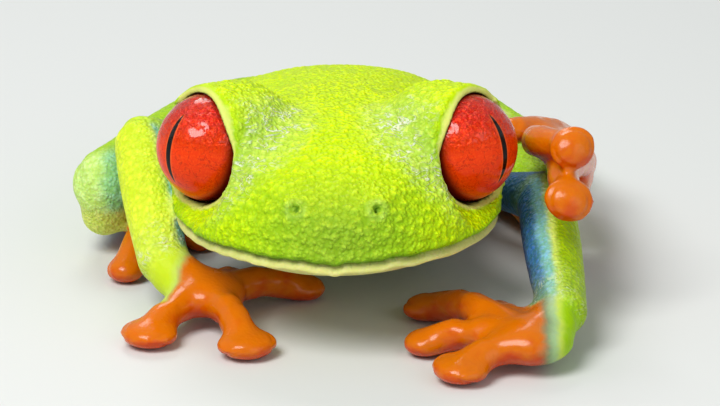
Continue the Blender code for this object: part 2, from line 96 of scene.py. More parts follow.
def neighbours(mesh):
    """The two ends of every edge, both ways round, and how many neighbours each vertex has."""
    flat = np.empty(len(mesh.edges) * 2, dtype=np.int64)
    mesh.edges.foreach_get("vertices", flat)
    a, b = flat.reshape(-1, 2).T
    ends = np.concatenate([a, b]), np.concatenate([b, a])
    return ends, np.maximum(np.bincount(ends[0], minlength=len(mesh.vertices)), 1)


def spread(values, links, rounds):
    """Evens out numbers over a mesh: in each round a vertex takes the mean of its own and its neighbours'."""
    (here, there), count = links
    columns = values.reshape(len(values), -1)
    for _ in range(rounds):
        near = [np.bincount(here, c[there], minlength=len(c)) / count for c in columns.T]
        columns = 0.5 * columns + 0.5 * np.stack(near, axis=1)
    return columns.reshape(values.shape)


def bell(distance, width):
    """1 in the middle of a ridge or pit, and falling away smoothly over this width."""
    return np.exp(-((distance / width) ** 2))


def step(value, start, end):
    """0 before start, 1 after end, and a smooth climb between."""
    t = np.clip((value - start) / (end - start), 0, 1)
    return t * t * (3 - 2 * t)


# %% [markdown]
# ## Helpers for modelling as by hand
# Operators act on whatever is selected, and loading the solids leaves them all selected. So each step first
# deselects everything, then picks its own object. Modifiers are applied at once, so that the result is a
# plain mesh.

# %% Selecting, joining and applying
def only(obj):
    bpy.ops.object.select_all(action="DESELECT")
    obj.select_set(True)
    bpy.context.view_layer.objects.active = obj
    return obj


def apply_modifier(obj, kind, **settings):
    only(obj)
    modifier = obj.modifiers.new(kind.title(), kind)
    for name, value in settings.items():
        setattr(modifier, name, value)
    bpy.ops.object.modifier_apply(modifier=modifier.name)
    return obj


def join(pieces):
    only(pieces[0])
    for piece in pieces:
        piece.select_set(True)
    bpy.ops.object.join()
    return bpy.context.object


def face_outwards(mesh):
    bm = bmesh.new()
    bm.from_mesh(mesh)
    bmesh.ops.recalc_face_normals(bm, faces=bm.faces)
    bm.to_mesh(mesh)
    bm.free()


# %% [markdown]
# ## Copies of the flesh
# Thin cuts part the solids at the frog's joints. A living frog has one unbroken skin, so the copies are first
# made to meet: wherever a copy lies close to the one that its skin runs on to, it swells a little. Elsewhere
# it keeps its size, so that fingers, arms and feet don't stick to what they only pass.

# %% Copy the solids
CUT_REACH = 0.75  # a vertex closer than this to the next solid swells


def copy_of(name):
    """A merged copy of one solid, as places and triangles."""
    bm = bmesh.new()
    bm.from_mesh(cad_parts[name].data)
    bmesh.ops.remove_doubles(bm, verts=bm.verts, dist=1e-6)
    bmesh.ops.triangulate(bm, faces=bm.faces)
    bm.verts.ensure_lookup_table()
    spots = (np.array([v.co for v in bm.verts]) - MIDDLE) / MM
    outward = np.array([v.normal for v in bm.verts])
    faces = [[v.index for v in f.verts] for f in bm.faces]
    bm.free()
    return spots, outward, faces


copies = {name: copy_of(name) for name in FLESH}
trees = {
    name: BVHTree.FromPolygons([Vector(spot) for spot in spots], faces)
    for name, (spots, _, faces) in copies.items()
}
boxes = {name: (spots.min(0) - CUT_REACH, spots.max(0) + CUT_REACH) for name, (spots, _, _) in copies.items()}
print("copied", len(copies), "solids")

# %% Close their cuts
SWELL = 0.34
JOINS = (  # kinds of solid whose skin runs on from one to the other
    ("head", "lower_jaw", "trunk"),
    ("trunk", "upper_arm"),
    ("trunk", "thigh"),
    ("thigh", "shank"),
    ("upper_arm", "forearm"),
    ("forearm", "hand"),
    ("hand", "finger"),
    ("shank", "tarsus"),
    ("tarsus", "foot"),
    ("foot", "toe"),
)


def joined(one, other):
    """Whether the skin runs from one of these solids straight to the other."""
    sides = {name.split("_")[-1] for name in (one, other)} & set(SIDES)
    together = any(one.startswith(join) and other.startswith(join) for join in JOINS)
    return together and len(sides) < 2 and one.split("_")[0] != other.split("_")[0]


def near_another(name, spot):
    """Whether this place of a solid lies close to one that its skin runs on to."""
    for other in FLESH:
        if joined(name, other) and np.all(spot > boxes[other][0]) and np.all(spot < boxes[other][1]):
            if trees[other].find_nearest(Vector(spot), CUT_REACH)[0] is not None:
                return True
    return False


def swollen_flesh():
    """One object of all the copies, each swollen where it meets the next."""
    spots, faces = [], []
    for name, (own, outward, triangles) in copies.items():
        meets = np.array([near_another(name, spot) for spot in own])
        faces += [[v + len(spots) for v in triangle] for triangle in triangles]
        spots += list(own + outward * (SWELL * meets)[:, None])
    mesh = bpy.data.meshes.new("skin")
    mesh.from_pydata([tuple(s * MM + MIDDLE) for s in spots], [], faces)
    skin = bpy.data.objects.new("skin", mesh)
    bpy.context.collection.objects.link(skin)
    return skin


skin = swollen_flesh()
print("swollen flesh:", len(skin.data.polygons), "triangles")

# %% [markdown]
# ## One smooth skin
# Booleans could join the copies, but they would keep every flat and edge. A voxel remesh turns them into one
# closed surface of small even faces instead. Smoothing then takes away the flats of the solids, but it also
# shrinks, and most on thin fingers. So the skin is measured against the solids it came from, and moved back
# by the evened-out difference: it keeps their size without their flats.

# %% Measure against the solids
CUT_WIDTH = 0.5  # a place of the skin closer than this to two joined solids lies over their cut
labels = [name for name, (_, _, faces) in copies.items() for _ in faces]
solid_spots, solid_faces = [], []
for spots, _, faces in copies.values():
    solid_faces += [[v + len(solid_spots) for v in face] for face in faces]
    solid_spots += [Vector(s) for s in spots]
solids = BVHTree.FromPolygons(solid_spots, solid_faces)


def measure_against_solids(spots):
    """How far each place is outside the solids, and the number of the solid that is nearest."""
    off, nearest = np.empty(len(spots)), np.empty(len(spots), dtype=int)
    number = {name: k for k, name in enumerate(FLESH)}
    for k, spot in enumerate(spots):
        hit, normal, face, _ = solids.find_nearest(Vector(spot))
        off[k] = (Vector(spot) - hit).dot(normal)
        nearest[k] = number[labels[face]]
    return off, nearest


def is_part(nearest, *kinds):
    """1 where the nearest solid is of one of these kinds, and 0 elsewhere."""
    wanted = [k for k, name in enumerate(FLESH) if name.startswith(kinds)]
    return np.isin(nearest, wanted).astype(float)


def at_a_cut(spots, nearest):
    """1 at the vertices that lie over the cut between two solids of a joint, and 0 elsewhere."""
    over = np.zeros(len(spots))
    for k, own in enumerate(FLESH):
        for other in (name for name in FLESH if joined(own, name)):
            low, high = boxes[other]
            inside = np.all(spots > low, axis=1) & np.all(spots < high, axis=1)
            for v in np.flatnonzero((nearest == k) & inside):
                if trees[other].find_nearest(Vector(spots[v]), CUT_WIDTH)[0] is not None:
                    over[v] = 1
    return over


print("the skin is measured against", len(solid_faces), "triangles")

# %% Remesh, smooth and bring back to size
FIRST_VOXEL = 0.24
SMOOTH_ROUNDS = {"broad": 30, "fine": 8}  # over the body, and over hands and feet
FINE_PARTS = ("hand", "finger", "foot", "toe")
MOST_OUT, MOST_IN = 0.6, 0.4  # how far the skin may be moved back to the solids at a time
apply_modifier(skin, "REMESH", mode="VOXEL", voxel_size=FIRST_VOXEL * MM)
links = neighbours(skin.data)
spots = places(skin.data)
_, nearest = measure_against_solids(spots)
fine = spread(is_part(nearest, *FINE_PARTS), links, 10)[:, None]
cuts = np.clip(spread(at_a_cut(spots, nearest), links, 6) * 2, 0, 1)[:, None]
spots = spread(spots, links, SMOOTH_ROUNDS["fine"])
spots = spots * fine + spread(spots, links, SMOOTH_ROUNDS["broad"]) * (1 - fine)
put_places(skin.data, spots)
for rounds in (30, 20):
    off, _ = measure_against_solids(spots)
    off = spread(np.clip(off, -MOST_OUT, MOST_IN) * (1 - cuts[:, 0]), links, rounds)
    spots = spots - normals(skin.data) * off[:, None]
    spots = spots * (1 - cuts) + spread(spots, links, rounds) * cuts
    put_places(skin.data, spots)
print("smooth skin:", len(spots), "vertices")
print("from the solids:", round(float(np.abs(off).mean()), 3), "mm on average")

# %% [markdown]
# ## Eyeballs
# A frog's eye is nearly a ball, with a clear cornea over a coloured iris. Each is a fine sphere whose pole is
# turned to where the eye looks. A picture could hold the iris, but here the sphere keeps a note of every
# vertex's own direction from the middle of the eye, so that the material draws the upright slit exactly, at
# any size.

# %% Model the eyeballs
EYE_TURN, EYE_TILT = math.radians(52), math.radians(10)  # how far an eye looks out to its side, and up
CORNEA = 0.12  # how far the cornea stands out of the ball


def eye_axes(side):
    """Rows that turn places round an eye into how far outward, up and along its sight they lie."""
    sign = 1 if side == "left" else -1
    level = math.cos(EYE_TILT)
    sight = Vector((sign * math.sin(EYE_TURN) * level, -math.cos(EYE_TURN) * level, math.sin(EYE_TILT)))
    outward = Vector((-sight.y, sight.x, 0)).normalized() * sign
    up = Vector((0, 0, 1)) - sight * sight.z
    return np.array((outward, up.normalized(), sight))


def eyeball(side):
    bpy.ops.object.select_all(action="DESELECT")
    bpy.ops.mesh.primitive_uv_sphere_add(segments=96, ring_count=64, radius=EYE_RADIUS * MM)
    ball = bpy.context.object
    ball.name = f"eyeball_{side}"
    gaze = np.empty(len(ball.data.vertices) * 3)
    ball.data.vertices.foreach_get("co", gaze)
    gaze = gaze.reshape(-1, 3) / (EYE_RADIUS * MM)
    layer = ball.data.attributes.new("gaze", "FLOAT_VECTOR", "POINT")
    layer.data.foreach_set("vector", gaze.ravel())
    own = gaze * EYE_RADIUS
    own[:, 2] += CORNEA * step(gaze[:, 2], 0.62, 1.0)
    put_places(ball.data, own @ eye_axes(side) + EYE_PLACE[side])
    face_outwards(ball.data)
    only(ball)
    bpy.ops.object.shade_smooth()
    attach(ball, "root")
    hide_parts(f"eye_{side}")
    return ball


eyeballs = {side: eyeball(side) for side in SIDES}
print("eyeballs:", [len(ball.data.polygons) for ball in eyeballs.values()], "faces")

# %% [markdown]
# ## Lids
# A frog's eye bulges out of a round opening whose edge is a soft pale roll. It lies closest over the eye
# above and in front, and leaves the ball freer below. A torus is bent to that edge, joined to the skin, and a
# second, finer remesh grows the two together.

# %% The edge of the lids
RIM_DEPTH, LID_LIFT = 0.84, 0.12
BACK, FRONT, CORNER = 20, 140, 218  # degrees round an eye, from 0 outward over 90 up


def lean(angle, towards, width):
    """1 at one angle round the eye, given in degrees, and falling away on both sides of it."""
    return np.exp((np.cos(angle - math.radians(towards)) - 1) / width)


def rim_depth(angle):
    """How far along the sight line the lid's edge lies, at this angle round the eye (0 outward, 90 up)."""
    return RIM_DEPTH + 0.38 * lean(angle, FRONT, 0.2) - 0.3 * lean(angle, BACK, 0.4)


def rim_lift(angle):
    """How far the lid's edge stands off the eyeball: most below and in front, where the dark fold lies."""
    return LID_LIFT + 0.3 * lean(angle, CORNER, 0.25)


rims = rim_depth(np.radians(np.arange(360)))
print("lid edges", round(rims.min(), 2), "to", round(rims.max(), 2), "mm along the sight")

# %% Roll the lids and grow them in
LID_THICKNESS = 0.25
SECOND_VOXEL = 0.14


def lid_roll(side):
    bpy.ops.object.select_all(action="DESELECT")
    bpy.ops.mesh.primitive_torus_add(major_segments=72, minor_segments=12, major_radius=1, minor_radius=0.1)
    roll = bpy.context.object
    flat = np.empty(len(roll.data.vertices) * 3)
    roll.data.vertices.foreach_get("co", flat)
    x, y, z = flat.reshape(-1, 3).T
    angle = np.arctan2(y, x)
    thick = LID_THICKNESS * (0.85 + 0.15 * np.sin(angle))
    depth = rim_depth(angle)
    across, along = (np.hypot(x, y) - 1) * 10, z * 10  # -1 to 1, over the width of the tube
    reach = np.sqrt(EYE_RADIUS**2 - depth**2) + rim_lift(angle) + across * thick
    rooted = np.where(z < 0, 2.6, 1.0)  # the back of the roll reaches down into the flesh
    own = np.stack([reach * np.cos(angle), reach * np.sin(angle), depth + along * thick * rooted], axis=1)
    put_places(roll.data, own @ eye_axes(side) + EYE_PLACE[side])
    face_outwards(roll.data)
    return roll


skin = join([skin, *(lid_roll(side) for side in SIDES)])
apply_modifier(skin, "REMESH", mode="VOXEL", voxel_size=SECOND_VOXEL * MM)
only(skin)
bpy.ops.mesh.separate(type="LOOSE")
crumbs = sorted(bpy.context.selected_objects, key=lambda piece: len(piece.data.vertices))
skin = crumbs.pop()
for crumb in crumbs:
    bpy.data.objects.remove(crumb, do_unlink=True)
skin.name = "skin"
links = neighbours(skin.data)
spots = spread(places(skin.data), links, 5)
put_places(skin.data, spots)
print("skin with lids:", len(spots), "vertices")

# %% [markdown]
# ## Mouth, nostrils and ear drums
# The mouth is a groove that runs level round the snout between a hanging upper lip and the rolled lower one,
# and dies out behind the eye. The nostrils are small pits on low mounds, and the ear drum is a faint ring.
# Booleans would leave hard edges, so these forms are carved: each one moves the vertices near it in or out
# along the skin, by a smooth bell of its own width.

# %% Mouth
MOUTH_HEIGHT, MOUTH_END = -4.5, 6.5
JAW_TOP, JAW_SIDE = -2.5, 10.9  # the mouth lies below the one and within the other


def mouth_height(spots):
    """The level of the mouth's line, which sags a little under the tip of the snout and wavers."""
    x, y, _ = spots.T
    sag = 0.16 * bell(x, 2.6) * (y < 0) + 0.1 * bell(x, 0.5)
    return MOUTH_HEIGHT - sag + 0.045 * np.sin(2.1 * x + 0.7 * y) + 0.03 * np.sin(4.7 * x - 1.9 * y)


def on_jaws(spots):
    within = (np.abs(spots[:, 0]) < JAW_SIDE) & (spots[:, 2] < JAW_TOP)
    return step(spots[:, 1], MOUTH_END, MOUTH_END - 3) * within


def carve_mouth(spots, out):
    high = spots[:, 2] - mouth_height(spots)
    chin = step(-high, 0.2, 1.0) * step(-high, 3.4, 1.8) * step(spots[:, 1], 4, -3)
    spots = spots + (0, 0, 0.34) * (head_share * chin)[:, None]
    groove = -0.36 * bell(high, 0.15)
    upper = 0.13 * bell(high - 0.42, 0.3)
    lower = 0.22 * bell(high + 0.48, 0.34)
    return spots + out * (head_share * on_jaws(spots) * (groove + upper + lower))[:, None]


# %% Nostrils and ear drums
NOSTRIL = (2.47, -8.4, -1.35)
EAR = (9.1, 5.6, -1.4)


def carve_nostrils(spots, out):
    for sign in (-1, 1):
        pit = np.array(NOSTRIL) * (sign, 1, 1)
        away = np.linalg.norm(spots - pit, axis=1)
        mound = np.linalg.norm(spots - pit - np.array((sign * 0.3, 0.2, 0.35)), axis=1)
        spots = spots + out * (0.2 * bell(mound, 0.65) - 0.9 * bell(away, 0.18))[:, None]
    return spots


def carve_ears(spots, out):
    for sign in (-1, 1):
        from_ear = spots - np.array(EAR) * (sign, 1, 1)
        away = np.linalg.norm(from_ear, axis=1)
        fold = np.linalg.norm(from_ear * (1, 1, 2.6) - (0, 0, 3.9), axis=1)  # a flat fold lies over it
        ring = 0.1 * bell(away - 1.05, 0.22) - 0.07 * bell(away, 0.8)
        spots = spots + out * (ring + 0.1 * bell(fold, 1.3))[:, None]
    return spots

# %% [markdown]
# ## Room for the eyeballs
# Below the snout's side of each eye the lid stands off the ball and leaves a dark fold, and everywhere else
# the skin just clears it. Both are measured in the eye's own axes: places above the fold sink along its
# sight, and any place that would touch the ball is pushed straight out from the ball's centre.

# %% Folds and clearance round the eyes
EYE_CLEARANCE = 0.06


def around_eye(spots, side):
    """Places in an eye's own outward, up and sight, with the distance and the angle round it."""
    own = (spots - EYE_PLACE[side]) @ eye_axes(side).T
    return own, np.linalg.norm(own, axis=1), np.arctan2(own[:, 1], own[:, 0])


def clear_eyes(spots):
    """Opens the fold under each lower lid, and keeps the skin just off the eyeballs."""
    for side in SIDES:
        own, away, angle = around_eye(spots, side)
        # the flesh beyond the rim may rise this far along the sight, and what is over that level sinks to it
        beyond = np.hypot(own[:, 0], own[:, 1]) - np.sqrt(EYE_RADIUS**2 - rim_depth(angle) ** 2)
        level = rim_depth(angle) + 0.12 + 0.85 * np.maximum(beyond - 0.35, 0)
        near = (beyond > -1.5) * step(2.6 - beyond, 0, 1.6) * (own[:, 2] > -1)
        over = np.maximum(own[:, 2] - level, 0) * near
        fold = bell(away - EYE_RADIUS - 0.15, 0.22) * (np.abs(own[:, 2] - rim_depth(angle)) < 1)
        sink = lean(angle, CORNER - 6, 0.5) * over + 0.3 * lean(angle, CORNER - 3, 0.3) * fold
        spots = spots - (head_share * sink)[:, None] * eye_axes(side)[2]
        own, away, angle = around_eye(spots, side)
        short = (away < EYE_RADIUS + EYE_CLEARANCE) & (away > EYE_RADIUS - 1.5) & (head_share > 0.5)
        onto = (EYE_RADIUS + EYE_CLEARANCE) / away[short]
        spots[short] = EYE_PLACE[side] + (spots[short] - EYE_PLACE[side]) * onto[:, None]
    return spots


def near_eyes(spots, reach):
    """1 beside the eyeballs and on the lids, fading out this far from the ball."""
    return np.max([step(reach - (around_eye(spots, side)[1] - EYE_RADIUS), 0, 0.3) for side in SIDES], axis=0)

# %% [markdown]
# ## Discs of the fingers and toes
# Each digit ends in a round sticky disc. Its solid has the size already, so only its edge is carved: a
# shallow groove sets the soft pad off from the skin behind it. The disc's middle and its flat direction are
# read from the solid, because no two digits lie the same way.

# %% Disc edges
def disc(name, paw):
    """The middle of a digit's disc, its flat direction and how wide it is."""
    own = copies[name][0]
    far = np.linalg.norm(own - copies[paw][0].mean(axis=0), axis=1)
    tip = own[far > np.quantile(far, 0.6)]
    middle = (tip.min(axis=0) + tip.max(axis=0)) / 2
    flat = np.linalg.svd(tip - tip.mean(axis=0), full_matrices=False)[2][2]
    return middle, flat, np.linalg.norm(tip - middle, axis=1).max()


def carve_discs(spots, out):
    """A groove round the edge of every disc, and a soft pad inside it."""
    for name in (name for name in FLESH if name.startswith(("finger", "toe"))):
        paw = ("hand_" if name.startswith("finger") else "foot_") + name.split("_")[-1]
        middle, flat, width = disc(name, paw)
        from_disc = spots - middle
        up = from_disc @ flat
        across = np.linalg.norm(from_disc - np.outer(up, flat), axis=1)
        near = (np.abs(up) < 1.2) & (across < width * 1.2)
        faces = np.abs(out @ flat)
        groove = -0.14 * bell(across - 0.74 * width, 0.15) + 0.06 * bell(across, 0.45 * width)
        ahead = middle - copies[paw][0].mean(axis=0)
        front = step((from_disc @ ahead) / np.linalg.norm(ahead), -0.6, 0.2)
        spots = spots + out * (near * groove * faces * front)[:, None]
    return spots

# %% Carve the skin
def nearest_end(name, towards):
    """The end of a limb's solid that lies nearest to the next one."""
    goal = copies[towards][0].mean(axis=0)
    own = copies[name][0]
    return own[np.argsort(np.linalg.norm(own - goal, axis=1))[:20]].mean(axis=0)


ELBOW = {side: nearest_end(f"forearm_{side}", f"upper_arm_{side}") for side in SIDES}
WRIST = {side: nearest_end(f"forearm_{side}", f"hand_{side}") for side in SIDES}
for side in SIDES:
    soft = bell(np.linalg.norm(spots - WRIST[side], axis=1), 2.3)[:, None]
    spots = spots * (1 - soft) + spread(spots, links, 40) * soft
put_places(skin.data, spots)
_, nearest = measure_against_solids(spots)
head_share = spread(is_part(nearest, "head", "lower_jaw"), links, 8)
for carve in (carve_mouth, carve_nostrils, carve_ears, carve_discs):
    spots = carve(spots, normals(skin.data))
    put_places(skin.data, spots)
spots = clear_eyes(spots)
lids = near_eyes(spots, 0.9)[:, None]
spots = clear_eyes(spots * (1 - lids) + spread(spots, links, 3) * lids)
put_places(skin.data, spots)
print("carved mouth, nostrils, ear drums and discs, and cleared the eyes")

# %% [markdown]
# ## Grains
# The back of this frog looks smooth from afar, but it is packed with low round grains, which are highest on
# the snout and missing from the hands, feet, lips and lids. A sculptor would stamp them one by one. Here a
# Voronoi field gives every vertex its distance to the nearest grain's middle, and raises it by that.

# %% Raise the grains
GRAIN_SIZE, GRAIN_HEIGHT = 0.5, 0.1


def grains(spots, size):
    """A field of low round grains, each about this wide: 1 on their crests and 0 between them."""
    far = np.array([noise.voronoi(Vector(spot) / size)[0][0] for spot in spots])
    return step(far, 0.62, 0.08)


smooth_parts = spread(is_part(nearest, *FINE_PARTS, "upper_arm"), links, 8)
above_lip = step(spots[:, 2] - mouth_height(spots), 0.1, 0.9) * head_share
upward = step(normals(skin.data)[:, 2], -0.3, 0.3)
limbs = spread(is_part(nearest, "forearm", "thigh", "shank", "tarsus"), links, 8)
rough = np.clip(above_lip + (1 - head_share) * upward * (0.7 - 0.4 * limbs), 0, 1)
rough = rough * (1 - smooth_parts) * (1 - near_eyes(spots, 0.75))
crest = grains(spots, GRAIN_SIZE)
coarse = 1 + 0.5 * head_share * step(-spots[:, 2], -0.5, 2.5)  # highest on the snout and cheeks
spots = places(skin.data) + normals(skin.data) * (GRAIN_HEIGHT * rough * coarse * (crest - 0.4))[:, None]
put_places(skin.data, spots)
print("grains over", round(100 * float((rough > 0.5).mean())), "% of the vertices")

# %% [markdown]
# ## Thin the mesh
# The remesh made faces of one size all over. Decimate takes them away where the skin is broad and smooth, and
# keeps them where the form is fine, so the finished skin holds its detail in fewer triangles.

# %% Thin the smooth parts
SKIN_TRIANGLES = 190000
apply_modifier(skin, "TRIANGULATE")
apply_modifier(skin, "DECIMATE", ratio=SKIN_TRIANGLES / len(skin.data.polygons))
only(skin)
bpy.ops.object.shade_smooth()
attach(skin, "root")
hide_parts(*FLESH)
print("skin:", len(skin.data.polygons), "triangles")

# %% [markdown]
# ## Where the colours go
# The back, head and outer sides of the limbs are leaf green, which hides a resting frog. What it tucks away
# is bright: orange hands and feet, blue upper arms and inner legs, and blue flanks barred with cream. The
# belly and throat are white. Each colour gets a share at every vertex, worked out from the part of the body
# and the side of the limb that it lies on, and the shares are painted one over another.

# %% Palette
def srgb(red, green, blue):
    """A colour as a paint chart gives it, 0 to 255, as the shader wants it."""
    values = np.array((red, green, blue)) / 255
    return np.where(values <= 0.04045, values / 12.92, ((values + 0.055) / 1.055) ** 2.4)


# the deep green is painted shade, on skin facing down and under the upper lip; lime facing up is painted
# light
LIME, GREEN, SHADED_GREEN = srgb(220, 247, 0), srgb(180, 222, 2), srgb(126, 180, 6)
# the brightest green and the olive are one arm green, lit and shaded: painted light and shade
LIT_ARM_GREEN, PALE_GREEN = srgb(240, 255, 62), srgb(196, 224, 130)
SHADED_ARM_GREEN, MOSS = srgb(172, 202, 0), srgb(150, 182, 60)
YELLOW, MINT, TEAL = srgb(232, 244, 124), srgb(222, 250, 150), srgb(168, 222, 172)
# the deeper orange is painted shade, on skin that faces down
ORANGE, SHADED_ORANGE = srgb(255, 124, 0), srgb(242, 78, 0)
BLUE, SKY, INDIGO = srgb(66, 122, 188), srgb(142, 206, 226), srgb(72, 58, 104)
CREAM, WHITE, RIM = srgb(246, 234, 178), srgb(240, 236, 220), srgb(255, 252, 170)
# both are painted shade: in the mouth's groove, the lid folds and round the eyeballs, and in the nostrils
CREVICE_SHADE, NOSTRIL_SHADE = srgb(52, 26, 12), srgb(52, 62, 8)
print("lime green for the shader:", LIME.round(3))

# %% What the painting measures
spots = places(skin.data)
out = normals(skin.data)
links = neighbours(skin.data)
_, nearest = measure_against_solids(spots)
x, y, z = spots.T
height = z - FLOOR


def blotches(size, seed):
    """Smooth noise, about -1 to 1, in blotches of this many millimetres."""
    return np.array([noise.noise(Vector(spot) / size + Vector((seed, 0, 0))) for spot in spots]) * 1.6


speckle = 0.6 * blotches(1.3, 3) + 0.4 * blotches(0.45, 11)  # it breaks up the edges between colours
print("speckle from", round(speckle.min(), 2), "to", round(speckle.max(), 2))

# %% Tools for painting
def share(*kinds, rounds=6):
    return spread(is_part(nearest, *kinds), links, rounds)


def limb(name, towards):
    """The middle of a limb's solid and its direction, pointing to another solid."""
    own = copies[name][0]
    middle = own.mean(axis=0)
    along = np.linalg.svd(own - middle, full_matrices=False)[2][0]
    return middle, along * np.sign(along @ (copies[towards][0].mean(axis=0) - middle))


def facing(name, towards, outer):
    """-1 to 1: how far each vertex is turned to the outer side of a limb, seen along the limb."""
    middle, along = limb(name, towards)
    radial = (spots - middle) - np.outer((spots - middle) @ along, along)
    outer = np.array(outer) - along * (np.array(outer) @ along)
    return (radial @ (outer / np.linalg.norm(outer))) / np.maximum(np.linalg.norm(radial, axis=1), 1e-6)


def paint(under, colour, weight):
    weight = np.clip(weight, 0, 1)[:, None]
    return under * (1 - weight) + np.array(colour) * weight


def bands(value, *steps):
    """Colours that follow one another as a value rises. steps: the first colour, then (from, to, colour)."""
    made = np.tile(steps[0], (len(value), 1))
    for start, end, colour in steps[1:]:
        made = paint(made, colour, step(value, start, end))
    return made


# %% Back and limbs
# lighter lime on skin facing up is painted light, and deeper green on skin facing down is painted shade
colour = bands(out[:, 2] + 0.1 * speckle, SHADED_GREEN, (-0.7, 0.2, GREEN), (0.3, 0.95, LIME))
hands = share("hand", "finger", "foot", "toe", rounds=4)
for side, sign in (("left", 1), ("right", -1)):
    outer = (1, -0.1, 0.1) if side == "left" else (-0.8, -0.55, 0.3)
    turn = facing(f"forearm_{side}", f"hand_{side}", outer) + 0.07 * speckle
    # the right arm, turned to the lamps, gets a brighter top than the left: painted light and shade
    shift, top = (-0.4, SHADED_ARM_GREEN) if side == "left" else (-0.46, LIT_ARM_GREEN)
    # the indigo on the innermost side of each forearm is partly painted shade on its underside
    inner = INDIGO, (-0.75, -0.4, BLUE), (-0.3, 0.05, SKY)
    arm = bands(turn - shift, *inner, (0.15, 0.4, YELLOW), (0.35, 0.65, top))
    colour = paint(colour, 0, share(f"forearm_{side}")) + arm * share(f"forearm_{side}")[:, None]
    elbow = np.linalg.norm(spots - ELBOW[side], axis=1)
    hidden = step(elbow, 1.6, 3.4) if side == "right" else 1
    colour = paint(colour, BLUE * 0.8 + INDIGO * 0.2, share(f"upper_arm_{side}", rounds=10) * hidden)
    for name, towards, outer in (
        (f"thigh_{side}", f"shank_{side}", (0.25 * sign, 0, 1)),
        (f"shank_{side}", f"tarsus_{side}", (1.0 * sign, 0, 0.45)),
        (f"tarsus_{side}", f"foot_{side}", (0.8 * sign, 0, 0.6)),
    ):
        turn = facing(name, towards, outer) + 0.07 * speckle
        leg = bands(turn, ORANGE, (-0.85, -0.55, BLUE), (-0.35, -0.15, CREAM), (-0.12, 0.1, GREEN))
        colour = paint(colour, 0, share(name)) + leg * share(name)[:, None]
print("painted the back and limbs")

# %% The front of the folded knee
KNEE_BACK = 13.8
knee = share("shank_right", "thigh_right", rounds=8) * step(KNEE_BACK - y, 0, 1.6)
knee = knee * step(-out[:, 1], -0.3, 0.35)
dusk = (-14.7, -13.6, (TEAL + BLUE + INDIGO) / 3)
knee_colour = bands(x + 0.3 * speckle, PALE_GREEN, (-18.3, -17.4, MINT), (-16.2, -14.9, TEAL), dusk)
knee_colour = paint(knee_colour, YELLOW, step(-z, 7.2, 8.2))
colour = paint(colour, 0, knee) + knee_colour * np.clip(knee, 0, 1)[:, None]
print("painted the knee:", int((knee > 0.5).sum()), "vertices")

# %% Flanks and belly
FLANK_TOP, BAR_SPACING, BELLY_TOP = 8.5, 3.6, 2.0  # heights over the floor, and from bar to bar
trunk = share("trunk", rounds=8)
flank_top = FLANK_TOP - 0.13 * np.abs(y - 13)
waver = 0.45 * np.sin(y * 1.1) + 0.2 * speckle
sideways = step(spread(out[:, 2], links, 20), 0.85, 0.6) * step(np.abs(x), 4.0, 6.0)
flank = trunk * step(flank_top + waver - height, -0.25, 0.25) * sideways
slant = y + 0.5 * height + 0.3 * np.sin(height * 2)
bars = step(np.cos(slant * 2 * math.pi / BAR_SPACING) + 0.15 * speckle, 0.4, 0.7)
colour = paint(colour, BLUE * 0.75 + INDIGO * 0.25, flank)
colour = paint(colour, CREAM, flank * bars)
colour = paint(colour, CREAM, trunk * bell(height - flank_top - waver, 0.3) * sideways)
colour = paint(colour, WHITE, trunk * step(BELLY_TOP + 0.3 * np.sin(y * 1.7) - height, -0.3, 0.5))
print("barred flanks reach", round(float(height[flank > 0.5].max()), 1), "mm over the floor")

# %% [markdown]
# ## Hands, lips and lids
# The sharpest edges between colours lie here, and they follow the forms: orange covers the hands and feet,
# cream runs along the lower lip just under the mouth's groove, and a pale rim goes round each eye. The lips
# and lids are painted by the same measures that carved them, so that form and colour can't drift apart.

# %% Orange hands and feet
# orange deepens on skin that faces down, as painted shade
orange_shaded_below = bands(speckle + out[:, 2], SHADED_ORANGE, (-0.9, 0.6, ORANGE))
orange = step(hands + 0.1 * speckle, 0.35, 0.65)
colour = paint(colour, 0, orange) + orange_shaded_below * orange[:, None]
# the right strip ends in the lit arm green, painted light as on that arm
STRIPS = {
    "right": ((SKY + YELLOW) / 2, (0.0, 0.35, YELLOW), (0.4, 0.9, LIT_ARM_GREEN)),
    "left": (
        BLUE * 0.4 + CREAM * 0.3,
        (0.1, 0.7, SKY * 0.6 + CREAM * 0.4),
        (0.7, 1.1, YELLOW),
        (1.0, 1.5, GREEN),
    ),
}
STRIP_SIDE = {"right": -9.45, "left": 12.5}  # a strip of the arm's colours runs on over the hand from here
STRIP_FRONT = {"right": (-4.8, -3.6), "left": (-13.0, -11.6)}  # and fades out forwards between these
edge = {"right": STRIP_SIDE["right"] + 0.3 * np.minimum(y, 0.5) - x, "left": x - STRIP_SIDE["left"]}
for side in ("right", "left"):
    strip = bands(edge[side] + 0.15 * speckle, *STRIPS[side])
    on = np.clip(2.6 * share(f"hand_{side}"), 0, 1) * step(y, *STRIP_FRONT[side])
    on = on * step(edge[side] + 0.18 * speckle, -0.3, 0.3)
    colour = paint(colour, 0, on) + strip * np.clip(on, 0, 1)[:, None]
    hands = hands * (1 - np.clip(on, 0, 1))
print("orange hands and feet:", round(100 * float((orange > 0.5).mean())), "% of the vertices")

# %% Lips and throat
head = share("head", "lower_jaw", rounds=5)
below = mouth_height(spots) - z
lip = head * on_jaws(spots)
snout = head * bell(x, 4.5) * step(-z, -1.6, 2.4) * step(-y, 3.5, 7)
colour = paint(colour, MOSS, 0.6 * snout)
colour = paint(colour, LIME, 0.6 * head * bell(np.abs(x) - 6.8, 1.8) * bell(z + 3.0, 1.6))
# a band of painted shade under the overhanging upper lip
colour = paint(colour, SHADED_GREEN, 0.3 * lip * bell(below + 0.3, 0.25))
colour = paint(colour, CREAM, lip * step(below, -0.06, 0.04) * step(1.25 - below, -0.15, 0.15))
colour = paint(colour, WHITE, head * step(below, 1.0, 1.4))
# a thin line of painted shade in the mouth's groove
colour = paint(colour, CREVICE_SHADE, lip * 0.5 * bell(below + 0.02, 0.07))
print("painted the lips and throat")

